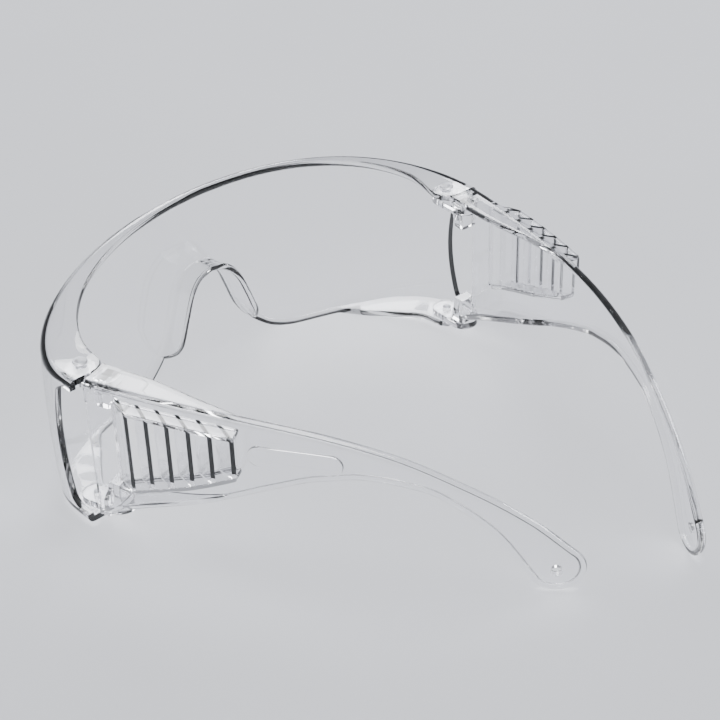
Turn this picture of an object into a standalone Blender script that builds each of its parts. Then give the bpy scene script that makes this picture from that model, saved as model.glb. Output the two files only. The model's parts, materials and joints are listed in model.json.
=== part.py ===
"""Clear over-the-glasses safety spectacles: a one-piece wraparound lens and two louvred temples.

Metres, +Z up. The lens faces -Y, the temples run towards +Y and the wearer's left is +X. The
assembly stands on its lens edge and its temple tips, with the origin under the middle of its box.
Each moulding is a flanged shell whose section changes along its length, so it is a loft: a grid
primitive whose rows go round the section and whose columns run along the piece.
"""
import math

import bmesh
import bpy
import numpy as np
from mathutils import Vector

MM = 0.001

# Overall sizes, in millimetres
HALF_WIDTH = 77.3        # middle plane to the outer face of lens side and temple
LENS_DEPTH = 40.0        # hinge axis to the front of the lens
PLAN_POWER = 2.1         # roundness of the lens seen from above
BROW_HEIGHT = 61.7       # top of the lens in the middle
HINGE_HEIGHT = 50.2      # top of the lens and of the temples at the hinges
TEMPLE_LENGTH = 130.5    # hinge axis to the hole in the temple tip
WALL = 2.0               # every moulded wall
INNER_ROUND = 0.3        # inside radius where a wall turns into a flange
RIM_ROUND = 0.5          # how far a flange's rounded end stands out
GAP = 0.3                # play between neighbouring pieces

# Hinges
HINGE_INSET = 7.7        # hinge axis in from the outer face
BOSS_RADIUS = 5.6        # rounded end of the lens flanges round the hinge axis
TONGUE_RADIUS = 4.6
TONGUE_THICKNESS = 2.2
SHELF_GAP = 0.5          # lens flange end to temple flange end when fully open
LOWER_BOSS_BASE = 1.6    # underside of the lens's lower flange at the hinge
PIN_DIAMETER = 2.2
PIN_HEAD_DIAMETER = 4.2
PIN_HEAD_HEIGHT = 0.8
BLOCK_SIZE = (6.8, 5.2, 8.0)
LEFT_YAW = 18.9          # how far each temple is folded in, as it stands
RIGHT_YAW = 2.8

# Lens edges
NOSE_HEIGHT = 34.5       # top of the nose notch
NOSE_DEPTH = 11.0        # reach of the nose bridge and its pads behind the lens face
PAD_FLARE = 2.2          # how far the pads' rear edges turn away from the nose
BROW_SHELF_RISE = 1.35
LENS_BULGE = 1.8
SCOOP = 4.0              # how far the lens side's rear edge curves forward
SIDE_REAR = -0.8         # that edge's ends, from the hinge axis

# Temples
TEMPLE_BEND = 17.45      # inward bow of the outer face at 100 mm
TEMPLE_SLOPE = 0.026
TOP_SHELF_DEPTH = 10.5
BOTTOM_SHELF_DEPTH = 9.5
TIP_RADIUS = 7.3
TIP_ANGLE = -50.6        # direction of the arm at its tip
TIP_HOLE_DIAMETER = 3.0
LOUVRE_START = 14.4      # window's front edge behind the hinge axis
LOUVRE_LENGTH = 35.6
LOUVRE_COUNT = 6
LOUVRE_LIP = 4.5         # how far the louvre hood stands out
LOUVRE_WALL = 1.4
LOUVRE_TOP_MARGIN = 4.0
LOUVRE_BOTTOM_MARGIN = 10.5
PLATE_LENGTH = 26.0      # blank stadium-shaped pad
PLATE_WIDTH = 6.5
PLATE_RISE = 0.5
PLATE_GAP = 3.0           # from the louvres' rear edge to the pad

# Fineness of the mesh
LENS_STATIONS = 28
TEMPLE_STATIONS = 22
TIP_STATIONS = 6
FLANGE_ROWS = 3
CORNER_ROWS = 3
WALL_ROWS = 6
RIM_ROWS = 2

HINGE_X = HALF_WIDTH - HINGE_INSET
TEMPLE_FRONT = BOSS_RADIUS + SHELF_GAP
OUTER_ROUND = INNER_ROUND + WALL
LEAST_DEPTH = OUTER_ROUND + RIM_ROUND + 0.15


def smooth(knots):
    """A smooth function through (x, y) knots that doesn't overshoot them."""
    x, y = (np.array(column, float) for column in zip(*knots))
    step = np.diff(x)
    rise = np.diff(y) / step
    slope = np.concatenate(([rise[0]], np.zeros(len(x) - 2), [rise[-1]]))
    for k in range(1, len(x) - 1):
        if rise[k - 1] * rise[k] > 0:
            slope[k] = 2 / (1 / rise[k - 1] + 1 / rise[k])

    def value(at):
        at = min(max(at, x[0]), x[-1])
        k = min(int(np.searchsorted(x, at, side="right")) - 1, len(step) - 1)
        t = (at - x[k]) / step[k]
        return (y[k] * (1 + 2 * t) * (1 - t) ** 2 + y[k + 1] * t * t * (3 - 2 * t)
                + slope[k] * step[k] * t * (1 - t) ** 2 + slope[k + 1] * step[k] * t * t * (t - 1))

    return value


def close_mesh(bm, mesh):
    """Write the body to the mesh with its faces pointing outwards."""
    bmesh.ops.recalc_face_normals(bm, faces=bm.faces)
    if bm.calc_volume(signed=True) < 0:
        bmesh.ops.reverse_faces(bm, faces=bm.faces)
    bm.to_mesh(mesh)
    bm.free()


# ---- the section that lens and temples share -------------------------------------------------

def edge_rows(reach, flare, lift):
    """(into the sheet, inward) offsets of one flanged edge: outer skin and inner skin, end first."""
    depth = max(reach, LEAST_DEPTH) - RIM_ROUND

    def moved(into, inward):
        share = max(inward - OUTER_ROUND, 0.0) / max(depth - OUTER_ROUND, 0.01)
        return into + flare * share ** 1.5 - lift * inward / max(depth, 0.01), inward

    outer, inner = [], []
    for k in range(FLANGE_ROWS):
        t = k / FLANGE_ROWS
        outer.append(moved(0.0, depth + t * (OUTER_ROUND - depth)))
        inner.append(moved(WALL, depth + t * (OUTER_ROUND - depth)))
    for k in range(CORNER_ROWS + 1):
        angle = math.radians(90 * (1 - k / CORNER_ROWS))
        turn, drop = 1 - math.sin(angle), 1 - math.cos(angle)
        outer.append(moved(OUTER_ROUND * turn, OUTER_ROUND * drop))
        inner.append(moved(WALL + INNER_ROUND * turn, WALL + INNER_ROUND * drop))
    rim = []
    for k in range(1, RIM_ROWS + 1):
        angle = math.pi * k / (RIM_ROWS + 1)
        into, inward = moved(WALL * (1 - math.cos(angle)) / 2, depth)
        rim.append((into, inward + RIM_ROUND * math.sin(angle)))
    return outer, inner, rim


def section(low, high, surface):
    """Closed ring of points. low and high are (point, direction into the sheet, flange rows)."""
    def skin(which, depth):
        points = []
        rows = []
        for (a, z), (da, dz), offsets in (low, high):
            rows.append([(a + da * q, z + dz * q, d) for q, d in offsets[which]])
        first, last = rows[0], rows[1][::-1]
        points += first
        for k in range(1, WALL_ROWS):
            t = k / WALL_ROWS
            points.append(tuple(np.array(first[-1][:2]) * (1 - t) + np.array(last[0][:2]) * t) + (depth,))
        return points + last

    def rim(edge, backwards):
        (a, z), (da, dz), offsets = edge
        rows = [(a + da * q, z + dz * q, d) for q, d in offsets[2]]
        return rows[::-1] if backwards else rows

    ring = skin(0, 0.0) + rim(high, False) + skin(1, WALL)[::-1] + rim(low, True)
    return [surface(*p) for p in ring]


def loft(name, rings):
    """A closed body from rings of points: a grid primitive wrapped round, welded and capped."""
    columns, around = len(rings) - 1, len(rings[0])
    mesh = bpy.data.meshes.new(name)
    bm = bmesh.new()
    bmesh.ops.create_grid(bm, x_segments=columns, y_segments=around, size=0.5)
    for v in bm.verts:
        i, k = round((v.co.x + 0.5) * columns), round((v.co.y + 0.5) * around)
        v.co = Vector(rings[i][k % around]) * MM
    bmesh.ops.remove_doubles(bm, verts=bm.verts, dist=2e-6)
    bmesh.ops.holes_fill(bm, edges=[e for e in bm.edges if e.is_boundary], sides=0)
    close_mesh(bm, mesh)
    return mesh


def mapped_box(name, place, cuts=0):
    """A cube primitive, cut across its length, whose points (u, v, w from 0 to 1) go to place."""
    mesh = bpy.data.meshes.new(name)
    bm = bmesh.new()
    bmesh.ops.create_cube(bm, size=1.0)
    if cuts:
        along = [e for e in bm.edges if abs(e.verts[0].co.x - e.verts[1].co.x) > 0.5]
        bmesh.ops.subdivide_edges(bm, edges=along, cuts=cuts, use_grid_fill=True)
    for v in bm.verts:
        v.co = Vector(place(*(v.co + Vector((0.5, 0.5, 0.5))))) * MM
    close_mesh(bm, mesh)
    return mesh


def disc(name, radius, low, high, centre=(0.0, 0.0), stretch=0.0, sides=32, chamfer=0.0):
    """An upright cylinder whose far half may be drawn back by stretch, with a chamfered top."""
    mesh = bpy.data.meshes.new(name)
    bm = bmesh.new()
    bmesh.ops.create_cone(bm, cap_ends=True, segments=sides, radius1=radius, radius2=radius,
                          depth=high - low)
    if chamfer:
        top = [e for e in bm.edges if all(v.co.z > 0 for v in e.verts)]
        bmesh.ops.bevel(bm, geom=top, offset=chamfer, segments=2, affect="EDGES", profile=0.5)
    for v in bm.verts:
        back = stretch if v.co.y > 1e-6 else 0.0
        v.co = Vector((v.co.x + centre[0], v.co.y + centre[1] + back, v.co.z + (low + high) / 2)) * MM
    close_mesh(bm, mesh)
    return mesh


# ---- lens ------------------------------------------------------------------------------------

def lens_plan():
    """Arc length, x, y and outward normal along half of the lens's outer face, seen from above."""
    angle = np.linspace(0, math.pi / 2, 600)
    x = HALF_WIDTH * np.sin(angle) ** (2 / PLAN_POWER)
    y = -LENS_DEPTH * np.abs(np.cos(angle)) ** (2 / PLAN_POWER)
    x, y = np.append(x, HALF_WIDTH), np.append(y, 2 * BOSS_RADIUS)
    arc = np.concatenate(([0.0], np.cumsum(np.hypot(np.diff(x), np.diff(y)))))
    tx, ty = np.gradient(x, arc), np.gradient(y, arc)
    size = np.hypot(tx, ty)
    tx, ty = np.append(tx[:-2] / size[:-2], (0.0, 0.0)), np.append(ty[:-2] / size[:-2], (1.0, 1.0))
    tx[0], ty[0] = 1.0, 0.0
    return arc, x, y, ty, -tx


PLAN = lens_plan()
HINGE_ARC = float(np.interp(-1e-3, PLAN[2], PLAN[0]))


def arc_at(x):
    return float(np.interp(x, PLAN[1][:-2], PLAN[0][:-2])) if x < HALF_WIDTH else HINGE_ARC


def lens_top(arc):
    t = float(np.interp(abs(arc), PLAN[0], PLAN[1])) / HALF_WIDTH
    return HINGE_HEIGHT + (BROW_HEIGHT - HINGE_HEIGHT) * (1 - 0.757 * t ** 2 - 0.243 * t ** 4)


def lens_surface(arc, z, depth):
    """The point that lies depth inside the lens's outer face."""
    side = -1 if arc < 0 else 1
    x, y, nx, ny = (float(np.interp(abs(arc), PLAN[0], PLAN[k])) for k in (1, 2, 3, 4))
    half = lens_top(arc) / 2
    fade = min(max((HINGE_ARC - abs(arc)) / 30.0, 0.0), 1.0)
    bulge = LENS_BULGE * fade * fade * (3 - 2 * fade) * max(0.0, 1 - ((z - half) / half) ** 2)
    out = bulge - depth
    return side * (x + nx * out), y + ny * out, z


def lens_lower_path():
    """Lower edge of half the lens as functions of its own length: arc, height."""
    share = NOSE_HEIGHT / 34.5
    knots = [(0, 34.5), (4, 33.3), (7, 29.8), (9.6, 23), (12, 16.2), (14.8, 11.6), (18, 8.2),
             (21.5, 5.2), (25, 2.9), (30, 1.1), (35, 0.3)]
    points = [(arc_at(x), z * share) for x, z in knots]
    wide = HALF_WIDTH / 77.3
    points += [(arc_at(45 * wide), 0.0), (arc_at(56 * wide), 0.0), (arc_at(68 * wide), LOWER_BOSS_BASE / 2),
               (HINGE_ARC - 6, LOWER_BOSS_BASE), (HINGE_ARC + BOSS_RADIUS, LOWER_BOSS_BASE)]
    steps = [math.dist(a, b) for a, b in zip(points, points[1:])]
    along = np.concatenate(([0.0], np.cumsum(steps)))
    return (smooth(list(zip(along, [p[0] for p in points]))),
            smooth(list(zip(along, [p[1] for p in points]))), along)


def boss_reach(arc):
    """Flange depth at the hinge: the flange ends in an arc round the hinge axis."""
    past = min(max(arc - HINGE_ARC, 0.0), BOSS_RADIUS)
    return HINGE_INSET + math.sqrt(BOSS_RADIUS ** 2 - past ** 2)


def lens_rings():
    arc_of, height_of, along = lens_lower_path()
    full = HINGE_INSET + BOSS_RADIUS
    lobe, total = along[11], along[-1]
    pad_end = along[6]
    nose = smooth([(0, 0.9 * NOSE_DEPTH), (0.4 * pad_end, NOSE_DEPTH), (0.74 * pad_end, 0.97 * NOSE_DEPTH),
                   (0.87 * pad_end, 0.8 * NOSE_DEPTH), (0.95 * pad_end, 0.5 * NOSE_DEPTH), (pad_end, 0.2)])
    turn = smooth([(0, 0.45), (0.45 * pad_end, 0.9), (0.7 * pad_end, 1.0), (0.9 * pad_end, 0.5),
                   (pad_end, 0.0)])
    lower = smooth([(pad_end, 0.0), (lobe, 0.0), (lobe + 6, 4.0), (lobe + 16, 9.0), (lobe + 30, full - 0.8),
                    (total - BOSS_RADIUS, full)])
    upper = smooth([(0, 5.4), (0.32 * HINGE_ARC, 6.2), (0.58 * HINGE_ARC, 8.0), (0.8 * HINGE_ARC, 10.8),
                    (0.95 * HINGE_ARC, full - 0.4), (HINGE_ARC, full)])

    def station(s):
        arc, z = arc_of(s), height_of(s)
        step = 0.4
        before, after = max(s - step, 0.0), min(s + step, total)
        da, dz = arc_of(after) - arc_of(before), height_of(after) - height_of(before)
        if s == 0:
            dz = 0.0
        size = math.hypot(da, dz)
        into = (-dz / size, da / size)
        rise = (lens_top(arc + step) - lens_top(arc - step)) / (2 * step) if 0 < arc < HINGE_ARC else 0.0
        down = (rise / math.hypot(1, rise), -1 / math.hypot(1, rise))
        tab = arc > HINGE_ARC
        low_reach = boss_reach(arc) if tab else nose(s) if s < pad_end else lower(s)
        flare = PAD_FLARE * turn(s)
        high_reach = boss_reach(arc) if tab else upper(arc)
        lift = BROW_SHELF_RISE * min(max((HINGE_ARC - arc) / 18.0, 0.0), 1.0)
        return (((arc, z), into, edge_rows(low_reach, flare, 0.0)),
                ((arc, lens_top(arc)), down, edge_rows(high_reach, 0.0, lift)))

    tabs = [total - BOSS_RADIUS * (1 - math.sin(math.radians(a))) for a in (0, 25, 48, 68, 90)]
    places = list(np.linspace(0, tabs[0], LENS_STATIONS + 1)[:-1]) + tabs
    right_half = [station(s) for s in places]
    rings = []
    for (low, high) in right_half[:0:-1]:
        mirrored = [((-p[0], p[1]), (-d[0], d[1]), rows) for p, d, rows in (low, high)]
        rings.append(section(*mirrored, lens_surface))
    return rings + [section(low, high, lens_surface) for low, high in right_half]


# ---- temples, in a frame whose origin is on the hinge axis at floor level ---------------------

def face_x(y):
    """Outer face of the left temple's panel, from the hinge axis."""
    return HINGE_INSET - TEMPLE_SLOPE * y - TEMPLE_BEND * (y / 100) ** 2


def temple_surface(y, z, depth):
    slope = TEMPLE_SLOPE + 2 * TEMPLE_BEND * y / 1e4
    size = math.hypot(1, slope)
    return face_x(y) - depth / size, y - depth * slope / size, z


def tip_frame():
    angle = math.radians(TIP_ANGLE)
    along = np.array((math.cos(angle), math.sin(angle)))
    across = np.array((-along[1], along[0]))
    return np.array((TEMPLE_LENGTH, TIP_RADIUS)), along, across


def temple_edges():
    """Height of the arm's top and bottom edges as functions of the distance behind the hinge."""
    centre, _, across = tip_frame()
    end_top, end_low = centre + TIP_RADIUS * across, centre - TIP_RADIUS * across
    long = TEMPLE_LENGTH / 130.5
    top = [(TEMPLE_FRONT, HINGE_HEIGHT), (35 * long, HINGE_HEIGHT - 0.9), (50 * long, HINGE_HEIGHT - 1.7),
           (70 * long, HINGE_HEIGHT - 3.6), (90 * long, HINGE_HEIGHT - 8.1),
           (110 * long, HINGE_HEIGHT - 17.4), (125 * long, HINGE_HEIGHT - 27.4), tuple(end_top)]
    low = [(TEMPLE_FRONT, tongue_base() + 0.2), (20 * long, 10.4), (40 * long, 17.6), (60 * long, 26.7),
           (72 * long, 31.2), (84 * long, 33.2), (98 * long, 31.0), (107 * long, 25.6), (115 * long, 18.2),
           tuple(end_low)]
    return smooth(top), smooth(low), end_top, end_low


def tongue_base():
    """Underside of the temple's lower tongue, which turns on top of the lens's lower flange."""
    return LOWER_BOSS_BASE + WALL + GAP


def temple_rings():
    top, low, end_top, end_low = temple_edges()
    centre, along, across = tip_frame()
    top_depth = smooth([(TEMPLE_FRONT, TOP_SHELF_DEPTH), (20, TOP_SHELF_DEPTH - 0.8), (40, 5.4), (62, 0.0)])
    low_depth = smooth([(TEMPLE_FRONT, BOTTOM_SHELF_DEPTH), (18, BOTTOM_SHELF_DEPTH - 0.6), (38, 5.0),
                        (58, 0.0)])

    def edge(curve, y, sign, reach):
        rise = (curve(y + 0.5) - curve(y - 0.5)) if y > TEMPLE_FRONT + 1 else 0.0
        size = math.hypot(1, rise)
        return (y, curve(y)), (-sign * rise / size, sign / size), edge_rows(reach, 0.0, 0.0)

    rings = []
    for k in range(TEMPLE_STATIONS):
        t = k / TEMPLE_STATIONS
        y_top = TEMPLE_FRONT + t * (end_top[0] - TEMPLE_FRONT)
        y_low = TEMPLE_FRONT + t * (end_low[0] - TEMPLE_FRONT)
        lower = edge(low, y_low, 1, low_depth(y_low) if y_low < 58 else 0.0)
        upper = edge(top, y_top, -1, top_depth(y_top) if y_top < 62 else 0.0)
        rings.append(section(lower, upper, temple_surface))
    for k in range(TIP_STATIONS + 1):
        angle = math.radians(90 * (1 - k / TIP_STATIONS))
        ends = []
        for sign in (-1, 1):
            away = along * math.cos(angle) + across * sign * math.sin(angle)
            ends.append((tuple(centre + TIP_RADIUS * away), tuple(-away), edge_rows(0.0, 0.0, 0.0)))
        rings.append(section(*ends, temple_surface))
    return rings


def louvre_window():
    """Rear edge, and the top and bottom edges as functions of the distance behind the hinge."""
    top, low, _, _ = temple_edges()
    return (LOUVRE_START + LOUVRE_LENGTH, lambda y: top(y) - LOUVRE_TOP_MARGIN,
            lambda y: low(y) + LOUVRE_BOTTOM_MARGIN)


def louvre_meshes(prefix):
    """The window's cutter, and the slats with the hood's top and bottom walls."""
    rear, top, low = louvre_window()
    pitch = LOUVRE_LENGTH / LOUVRE_COUNT
    run = pitch + 0.8
    cutter = mapped_box(prefix + "window", lambda u, v, w: temple_surface(
        LOUVRE_START + u * LOUVRE_LENGTH,
        low(LOUVRE_START + u * LOUVRE_LENGTH) * (1 - v) + top(LOUVRE_START + u * LOUVRE_LENGTH) * v,
        -3 + w * (WALL + 6)), cuts=5)
    added = []
    for k in range(LOUVRE_COUNT):
        start = LOUVRE_START - 0.4 + k * pitch

        def slat(u, v, w, start=start):
            y = start + u * run + w * LOUVRE_WALL
            depth = (WALL - 0.15) * (1 - u) - LOUVRE_LIP * u
            return temple_surface(y, (low(y) - 0.9) * (1 - v) + (top(y) + 0.9) * v, depth)

        added.append(mapped_box(f"{prefix}slat_{k + 1}", slat))
    for name, edge, side in (("top", top, 1), ("bottom", low, -1)):
        def hood(u, v, w, edge=edge, side=side):
            y = LOUVRE_START + 0.9 + u * (LOUVRE_LENGTH + 0.4)
            proud = LOUVRE_LIP * min(1.0, 0.12 + u * (LOUVRE_COUNT - 0.4))
            depth = WALL - 0.4 - w * (WALL - 0.4 + proud)
            return temple_surface(y, edge(y) + side * (0.1 + v * LOUVRE_WALL), depth)

        added.append(mapped_box(f"{prefix}hood_{name}", hood, cuts=10))
    return [cutter], added


def knuckle_meshes(prefix):
    """Tongues, blocks and webs that join the temple to its two hinge bosses."""
    width, length, height = BLOCK_SIZE
    inner = -width / 2 - 0.2
    upper = HINGE_HEIGHT - WALL - GAP
    lower = tongue_base()
    added = [disc(prefix + name, TONGUE_RADIUS, base, base + TONGUE_THICKNESS, stretch=TEMPLE_FRONT + 2)
             for name, base in (("upper_tongue", upper - TONGUE_THICKNESS), ("lower_tongue", lower))]
    for name, base, way in (("upper", upper + GAP + 0.8, -1), ("lower", lower + 0.6, 1)):
        tall = height + 0.8 if way < 0 else height + 1.6

        def block(u, v, w, base=base, way=way, tall=tall):
            taper = 0.7 * v
            back = TEMPLE_FRONT + 0.1 + taper + w * (length - 2 * taper)
            return inner + taper + u * (width - 2 * taper), back, base + way * v * tall

        def web(u, v, w, base=base, way=way, tall=tall):
            reach = HINGE_INSET - 0.6 * WALL - (inner + width - 1.2)
            drop = tall * (0.92 - 0.45 * u)
            return inner + width - 1.2 + u * reach, TEMPLE_FRONT + 0.9 + w * 1.6, base + way * v * drop

        added += [mapped_box(f"{prefix}{name}_block", block), mapped_box(f"{prefix}{name}_web", web)]
    return added


def plate_mesh(name):
    """The blank raised pad behind the louvres: flat, square to the bowed face at its middle."""
    rear, _, _ = louvre_window()
    middle = rear + PLATE_GAP + PLATE_LENGTH / 2
    top, low, _, _ = temple_edges()
    height = (top(middle) + low(middle)) / 2
    centre = Vector(temple_surface(middle, height, 0.0))
    outward = (centre - Vector(temple_surface(middle, height, 1.0))).normalized()
    along = Vector((0, 0, 1)).cross(outward)
    mesh = bpy.data.meshes.new(name)
    bm = bmesh.new()
    radius = PLATE_WIDTH / 2
    bmesh.ops.create_cone(bm, cap_ends=True, segments=28, radius1=radius, radius2=radius, depth=1.0)
    for v in bm.verts:
        ahead = v.co.x + math.copysign((PLATE_LENGTH - PLATE_WIDTH) / 2, v.co.x)
        proud = PLATE_RISE if v.co.z > 0 else -WALL / 2
        v.co = (centre + along * ahead + outward * proud + Vector((0, 0, v.co.y))) * MM
    close_mesh(bm, mesh)
    return mesh


# ---- pins ------------------------------------------------------------------------------------

def pin_mesh(name, low, high, head_up):
    """A turned pin: a profile, spun by a Screw modifier on its object."""
    head, shank = PIN_HEAD_DIAMETER / 2, PIN_DIAMETER / 2
    top = high + PIN_HEAD_HEIGHT
    profile = [(0, top), (head * 0.6, top), (head * 0.92, high + PIN_HEAD_HEIGHT * 0.7),
               (head, high + PIN_HEAD_HEIGHT * 0.3), (head, high), (shank, high), (shank, low + 0.3),
               (shank - 0.3, low), (0, low)]
    if not head_up:
        profile = [(r, low + high - z) for r, z in profile[::-1]]
    mesh = bpy.data.meshes.new(name)
    bm = bmesh.new()
    points = [bm.verts.new((r * MM, 0, z * MM)) for r, z in profile]
    for a, b in zip(points, points[1:]):
        bm.edges.new((a, b))
    bm.to_mesh(mesh)
    bm.free()
    return mesh


# ---- assembly --------------------------------------------------------------------------------

def collection(name):
    made = bpy.data.collections.new(name)
    bpy.context.scene.collection.children.link(made)
    return made


def material(name, colour, roughness, alpha):
    made = bpy.data.materials.new(name)
    made.use_nodes = True
    shader = made.node_tree.nodes["Principled BSDF"]
    shader.inputs["Base Color"].default_value = (*colour, 1.0)
    shader.inputs["Roughness"].default_value = roughness
    shader.inputs["Metallic"].default_value = 0.0
    shader.inputs["Alpha"].default_value = alpha
    return made


def put(mesh, where, parent, look=None, side=1):
    """An object of the mesh, mirrored for the wearer's right side."""
    if side < 0:
        bm = bmesh.new()
        bm.from_mesh(mesh)
        bmesh.ops.scale(bm, vec=(-1, 1, 1), verts=bm.verts)
        close_mesh(bm, mesh)
    made = bpy.data.objects.new(mesh.name, mesh)
    where.objects.link(made)
    made.parent = parent
    if look:
        mesh.materials.append(look)
    else:
        made.hide_render = True
        made.display_type = "WIRE"
    return made


def boolean(target, tools, operation):
    for tool in tools:
        made = target.modifiers.new(tool.name, "BOOLEAN")
        made.operation = operation
        made.solver = "EXACT"
        made.object = tool


def empty(name, where, parent, location, yaw=0.0):
    made = bpy.data.objects.new(name, None)
    where.objects.link(made)
    made.parent = parent
    made.location = Vector(location) * MM
    made.rotation_euler = (0, 0, math.radians(yaw))
    return made


def side_opening(side):
    """Cutter that opens the lens side behind its scooped rear edge, between the two flanges."""
    name = "cut_side_left" if side > 0 else "cut_side_right"
    low, high = LOWER_BOSS_BASE + WALL + 1.2, HINGE_HEIGHT - WALL - 1.2

    def place(u, v, w):
        z = low + u * (high - low)
        front = SIDE_REAR - SCOOP * math.sin(math.pi * u) ** 0.8
        corner = 2.2 * max(0.0, 1 - min(u, 1 - u) * (high - low) / 3) ** 2
        y = (front + corner) * (1 - v) + (BOSS_RADIUS + 4) * v
        return HALF_WIDTH - OUTER_ROUND - 1.5 + w * (OUTER_ROUND + 4), y, z

    return mapped_box(name, place, cuts=16)


def build_lens(parts, cutters, root, look):
    lens = put(loft("lens_front", lens_rings()), parts, root, look)
    cuts = []
    for side in (1, -1):
        word = "left" if side > 0 else "right"
        cuts.append(put(side_opening(side), cutters, root, side=side))
        hole = disc(f"cut_lens_pin_{word}", PIN_DIAMETER / 2 + GAP, -5, BROW_HEIGHT + 5, centre=(HINGE_X, 0),
                    sides=24)
        cuts.append(put(hole, cutters, root, side=side))
    boolean(lens, cuts, "DIFFERENCE")


def build_temple(parts, cutters, root, look, side):
    word, yaw = ("left", LEFT_YAW) if side > 0 else ("right", -RIGHT_YAW)
    hinge = empty(f"{word}_hinge", parts, root, (side * HINGE_X, 0, 0), yaw)
    temple = put(loft(f"{word}_temple", temple_rings()), parts, hinge, look, side)
    prefix = f"help_{word}_"
    cuts, louvres = louvre_meshes(prefix)
    added = louvres + knuckle_meshes(prefix)
    if side > 0:
        added.append(plate_mesh(prefix + "plate"))
    hole = tip_hole(prefix + "tip_hole")
    pin_hole = disc(prefix + "pin_hole", PIN_DIAMETER / 2 + GAP, -5, HINGE_HEIGHT + 5, sides=24)
    boolean(temple, [put(mesh, cutters, hinge, side=side) for mesh in cuts], "DIFFERENCE")
    boolean(temple, [put(mesh, cutters, hinge, side=side) for mesh in added], "UNION")
    boolean(temple, [put(mesh, cutters, hinge, side=side) for mesh in (hole, pin_hole)], "DIFFERENCE")


def tip_hole(name):
    """Cutter for the cord hole in the temple tip, square to the face there."""
    mesh = bpy.data.meshes.new(name)
    bm = bmesh.new()
    radius = TIP_HOLE_DIAMETER / 2
    bmesh.ops.create_cone(bm, cap_ends=True, segments=24, radius1=radius, radius2=radius, depth=1.0)
    for v in bm.verts:
        depth = 6.0 if v.co.z > 0 else -3.0
        v.co = Vector(temple_surface(TEMPLE_LENGTH + v.co.x, TIP_RADIUS + v.co.y, depth)) * MM
    close_mesh(bm, mesh)
    return mesh


def build_pins(parts, root, look):
    upper_low = HINGE_HEIGHT - WALL - GAP - TONGUE_THICKNESS - 0.4
    lower_high = tongue_base() + TONGUE_THICKNESS + 0.4
    for side, word in ((1, "left"), (-1, "right")):
        spots = ((f"{word}_upper_pin", upper_low, HINGE_HEIGHT + GAP, True),
                 (f"{word}_lower_pin", LOWER_BOSS_BASE - GAP, lower_high, False))
        for name, low, high, head_up in spots:
            pin = put(pin_mesh(name, low, high, head_up), parts, root, look)
            pin.location = (side * HINGE_X * MM, 0, 0)
            turn = pin.modifiers.new("turn", "SCREW")
            turn.steps = turn.render_steps = 20
            turn.use_merge_vertices = True
            turn.merge_threshold = 0.00001


def stand_on_origin(root, parts):
    """Move the whole assembly so that the origin is under the middle of its box."""
    bpy.context.view_layer.update()
    graph = bpy.context.evaluated_depsgraph_get()
    corners = []
    for made in parts.objects:
        if made.type == "MESH":
            shown = made.evaluated_get(graph)
            corners += [shown.matrix_world @ v.co for v in shown.to_mesh().vertices]
            shown.to_mesh_clear()
    low = [min(c[k] for c in corners) for k in range(3)]
    high = [max(c[k] for c in corners) for k in range(3)]
    root.location = (-(low[0] + high[0]) / 2, -(low[1] + high[1]) / 2, -low[2])
    print("root moved to", [round(v * 1000, 3) for v in root.location])
    print("size", [round((high[k] - low[k]) * 1000, 2) for k in range(3)])


def main():
    for old in list(bpy.data.objects):
        bpy.data.objects.remove(old, do_unlink=True)
    parts, cutters = collection("safety_glasses"), collection("cutters")
    root = empty("root", parts, None, (0, 0, 0))
    clear = material("clear_plastic", (0.93, 0.93, 0.97), 0.06, 0.35)
    pins = material("pin_plastic", (0.85, 0.86, 0.90), 0.2, 0.6)
    build_lens(parts, cutters, root, clear)
    for side in (1, -1):
        build_temple(parts, cutters, root, clear, side)
    build_pins(parts, root, pins)
    stand_on_origin(root, parts)


main()
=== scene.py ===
"""Clear over-the-glasses safety spectacles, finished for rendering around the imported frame.

The lens and both temples are made again as fine, smooth shells on the same dimensions as the frame,
in its hinge positions, with softened edges and procedural clear plastic. Millimetres are used for
the design values and turned into metres where a mesh is written.
"""

import json
import math

import bmesh
import bpy
import numpy as np
from mathutils import Matrix, Vector


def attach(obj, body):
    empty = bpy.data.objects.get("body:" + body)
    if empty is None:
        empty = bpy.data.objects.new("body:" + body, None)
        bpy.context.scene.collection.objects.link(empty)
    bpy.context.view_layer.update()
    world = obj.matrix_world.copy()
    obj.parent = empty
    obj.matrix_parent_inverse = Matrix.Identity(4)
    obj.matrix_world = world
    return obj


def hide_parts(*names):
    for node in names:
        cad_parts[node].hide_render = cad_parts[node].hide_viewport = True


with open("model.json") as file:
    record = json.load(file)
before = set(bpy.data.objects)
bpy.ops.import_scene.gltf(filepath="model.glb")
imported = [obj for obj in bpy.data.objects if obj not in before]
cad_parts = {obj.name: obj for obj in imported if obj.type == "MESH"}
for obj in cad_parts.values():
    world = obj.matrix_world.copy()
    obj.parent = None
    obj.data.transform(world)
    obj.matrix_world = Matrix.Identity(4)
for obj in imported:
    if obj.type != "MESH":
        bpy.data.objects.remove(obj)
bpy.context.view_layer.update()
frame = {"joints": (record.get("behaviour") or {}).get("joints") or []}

MM = 0.001

# Overall sizes, in millimetres
HALF_WIDTH = 77.3        # middle plane to the outer face of lens side and temple
LENS_DEPTH = 40.0        # hinge axis to the front of the lens
PLAN_POWER = 2.1         # roundness of the lens seen from above
BROW_HEIGHT = 61.7       # top of the lens in the middle
HINGE_HEIGHT = 50.2      # top of the lens and of the temples at the hinges
TEMPLE_LENGTH = 130.5    # hinge axis to the hole in the temple tip
WALL = 2.0               # every moulded wall
INNER_ROUND = 0.3        # inside radius where a wall turns into a flange
RIM_ROUND = 0.5          # how far a flange's rounded end stands out
GAP = 0.3                # play between neighbouring pieces

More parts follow.
